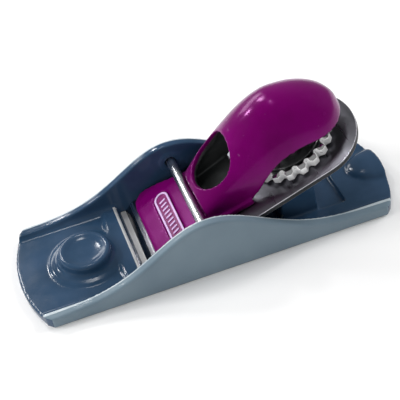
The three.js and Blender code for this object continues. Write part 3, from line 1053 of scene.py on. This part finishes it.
def make_badge():
    """A plain badge: a raised pale border and a row of short raised bars on a coloured field."""
    field = gloss_paint(
        "badge_field",
        deep=(0.17, 0.0, 0.1),
        light=(0.21, 0.002, 0.13),
        worn=(0.5, 0.35, 0.48),
        wear=(0.7, 0.8),
        rough=(0.3, 0.45),
        peel=0.1,
    )
    pale = gloss_paint(
        "badge_pale",
        deep=(0.56, 0.36, 0.66),
        light=(0.7, 0.5, 0.8),
        worn=(0.6, 0.55, 0.6),
        wear=(0.7, 0.8),
        rough=(0.3, 0.45),
        peel=0.1,
    )
    badge = plate("cap_badge_plate", badge_outline(0), -BADGE_RECESS + GAP, BADGE_PROUD - 0.3)
    middle = (BADGE_BARS - 1) / 2
    bars = [badge_bar((i - middle) * BADGE_BAR_PITCH) for i in range(BADGE_BARS)]
    add(badge, badge_ring(), *bars)
    bevelled(badge, width=0.05, segments=1, angle=40)
    raised = BADGE_PROUD - 0.2
    paint_faces(badge, 1, lambda place, normal: place.z > raised)
    moved(badge, CUTTER_FRAME @ BADGE_PLACE)
    finished(badge, [field, pale], "lever_cap", "badge_paint", "cap_badge", sharp=30)


# ---------- clamp wheel and stud ----------


def tooth_depth(angle):
    """From 0 on a tooth's crest to 1 in the valley."""
    valley = 0.12
    flank = 0.5
    place = abs((angle * WHEEL_TEETH / (2 * math.pi)) % 1 - 0.5) * 2
    return 1 - min(max((place - valley) / flank, 0), 1) ** 0.9


def wheel_radius(radius, height, angle):
    """The grooves between the teeth begin at one radius and deepen outwards, alike at every height."""
    run_in = 1.6
    reach = min(max((radius - WHEEL_TEETH_START) / run_in, 0), 1)
    return radius - WHEEL_TOOTH_DEPTH * tooth_depth(angle) * reach


def wheel_profile():
    """A disc with a rounded rim, dished above between rim and hub, and a blind bore for the stud."""
    low = WHEEL_UNDER_W
    high = WHEEL_UNDER_W + WHEEL_THICKNESS
    bore = STUD_RADIUS + GAP
    return [
        (0, low),
        (WHEEL_RADIUS - 1.9, low),
        (WHEEL_RADIUS - 0.1, low + 0.9),
        (WHEEL_RADIUS, low + 1.2),
        (WHEEL_RADIUS, high - 1.2),
        (WHEEL_RADIUS - 0.1, high - 0.9),
        (WHEEL_RADIUS - 1.4, high),
        (WHEEL_RADIUS - 3.2, high),
        (WHEEL_RADIUS - 4, high - WHEEL_DISH_DEPTH),
        (HUB_RADIUS + 1, high - WHEEL_DISH_DEPTH),
        (HUB_RADIUS, high - 0.5),
        (HUB_RADIUS, WHEEL_HUB_W - 0.5),
        (HUB_RADIUS - 0.5, WHEEL_HUB_W),
        (bore + 0.3, WHEEL_HUB_W),
        (bore, WHEEL_HUB_W - 0.3),
        (bore, STUD_FOOT_W - GAP),
        (0, STUD_FOOT_W - GAP),
    ]


def on_tooth_flank(place, normal):
    return abs(normal.z) < 0.6 and math.hypot(place.x, place.y) > WHEEL_RADIUS - 3


def make_clamp_wheel():
    nickel = ground_metal(
        "nickel_plate",
        dark=(0.8, 0.8, 0.81),
        light=(0.93, 0.93, 0.94),
        rough=(0.1, 0.22),
        grain=420,
        stretch=(1, 1, 1),
        depth=0.1,
    )
    satin = ground_metal(
        "knurled_rim",
        dark=(0.9, 0.9, 0.91),
        light=(0.97, 0.97, 0.97),
        rough=(0.25, 0.45),
        grain=420,
        stretch=(1, 1, 1),
        depth=0.1,
        metallic=0.45,
    )
    profile = softened(wheel_profile(), 0.18, 2)
    wheel = turned("clamp_wheel_knurled", profile, WHEEL_TEETH * 16, wheel_radius)
    paint_faces(wheel, 1, on_tooth_flank)
    moved(wheel, CUTTER_FRAME @ WHEEL_PLACE)
    finished(wheel, [nickel, satin], "clamp_wheel", "wheel_plating", "clamp_wheel", sharp=28)


def stud_radius(radius, height, angle):
    """The thread's crest and root round the stud, fading out at both ends."""
    fade_length = 0.8
    turn = (height / STUD_PITCH - angle / (2 * math.pi)) % 1
    groove = STUD_GROOVE_DEPTH * (1 - abs(turn - 0.5) * 2)
    ends = min(height - STUD_FOOT_W, STUD_TOP_W - height)
    fade = min(max(ends / fade_length, 0), 1)
    return radius - groove * fade


def stud_profile():
    """A plain rod with a small chamfer at its foot and a larger one at its top."""
    foot_radius = STUD_RADIUS - 0.5
    top_radius = STUD_RADIUS - 0.8
    rows = 160
    profile = [(0, STUD_FOOT_W), (foot_radius, STUD_FOOT_W)]
    for i in range(1, rows):
        height = STUD_FOOT_W + (STUD_TOP_W - STUD_FOOT_W) * i / rows
        foot_chamfer = foot_radius + (height - STUD_FOOT_W)
        top_chamfer = top_radius + STUD_TOP_W - height
        profile.append((min(STUD_RADIUS, foot_chamfer, top_chamfer), height))
    profile += [(top_radius, STUD_TOP_W), (0, STUD_TOP_W)]
    return profile


def make_clamp_stud():
    steel = ground_metal(
        "stud_steel",
        dark=(0.45, 0.45, 0.46),
        light=(0.62, 0.62, 0.63),
        rough=(0.2, 0.4),
        grain=900,
        stretch=(1, 1, 1),
        depth=0.2,
    )
    stud = turned("clamp_stud_threaded", stud_profile(), 48, stud_radius)
    moved(stud, CUTTER_FRAME @ WHEEL_PLACE)
    finished(stud, [steel], "clamp_stud", "stud_steel", "clamp_stud", sharp=35)


# ---------- stage ----------


def make_floor():
    material, tree, shader = new_material("pale_floor")
    tone = spread(tree, noise(tree, scale=3, detail=2), 0.3, 0.7)
    tree.links.new(mixed(tree, tone, (0.9, 0.9, 0.9), (0.94, 0.94, 0.94)), shader.inputs["Base Color"])
    shader.inputs["Roughness"].default_value = 0.9
    shader.inputs["Specular IOR Level"].default_value = 0.1
    half = 3000
    corners = [(-half, -half, 0), (half, -half, 0), (half, half, 0), (-half, half, 0)]
    floor = shape("floor", corners, [[0, 1, 2, 3]])
    floor.data.transform(Matrix.Scale(MM, 4))
    just_below_sole = -0.0001
    floor.location.z = just_below_sole
    floor.data.materials.append(material)


def make_light(name, place, width, height, power, mirrored):
    """A soft panel aimed at the plane. Only the mirrored ones show up as highlights in the gloss."""
    middle = Vector((0, 0, 0.02))
    data = bpy.data.lights.new(name, "AREA")
    data.shape = "RECTANGLE"
    data.size = width
    data.size_y = height
    data.energy = power
    light = bpy.data.objects.new(name, data)
    light.location = place
    light.rotation_euler = (middle - Vector(place)).to_track_quat("-Z", "Y").to_euler()
    light.visible_glossy = mirrored
    bpy.context.scene.collection.objects.link(light)


def make_world():
    world = bpy.data.worlds.new("studio")
    world.use_nodes = True
    background = world.node_tree.nodes["Background"]
    background.inputs["Color"].default_value = (1, 1, 1, 1)
    background.inputs["Strength"].default_value = 0.25
    bpy.context.scene.world = world


def make_camera():
    azimuth = math.radians(167.73)
    elevation = math.radians(42.96)
    roll = math.radians(-9.76)
    distance = 0.40245
    target = Vector((-0.00288, -0.01391, 0))
    back = Vector((
        math.sin(azimuth) * math.cos(elevation),
        -math.cos(azimuth) * math.cos(elevation),
        math.sin(elevation),
    ))
    right = (-back).cross(Vector((0, 0, 1))).normalized()
    up = right.cross(-back)
    camera_x = right * math.cos(roll) + up * math.sin(roll)
    camera_y = up * math.cos(roll) - right * math.sin(roll)
    data = bpy.data.cameras.new("camera")
    data.lens = 96.02
    data.sensor_width = 36
    camera = bpy.data.objects.new("camera", data)
    turn = Matrix((camera_x, camera_y, back)).transposed().to_4x4()
    camera.matrix_world = Matrix.Translation(target + back * distance) @ turn
    bpy.context.scene.collection.objects.link(camera)
    bpy.context.scene.camera = camera


make_camera()
make_world()
make_floor()
make_light("left", (0.75, -0.15, 0.5), width=0.5, height=0.5, power=5.4, mirrored=False)
make_light("right", (-0.75, -0.1, 0.5), width=0.5, height=0.5, power=5, mirrored=False)
make_light("front", (0.34, 0.75, 0.4), width=0.5, height=0.4, power=2, mirrored=False)
make_light("rim", (0.25, -0.75, 0.36), width=0.4, height=0.15, power=1.2, mirrored=True)
make_light("top", (0.03, -0.2, 0.65), width=0.1, height=0.1, power=0.4, mirrored=True)
make_light("window", (0.2, -0.62, 0.62), width=0.07, height=0.12, power=1.1, mirrored=True)
make_light("lamp", (0.45, -0.5, 0.5), width=0.07, height=0.07, power=0.9, mirrored=True)
bpy.context.scene.view_settings.view_transform = "Standard"

make_casting()
make_cross_pin()
make_cutter()
make_lever_cap()
make_badge()
make_clamp_wheel()
make_clamp_stud()
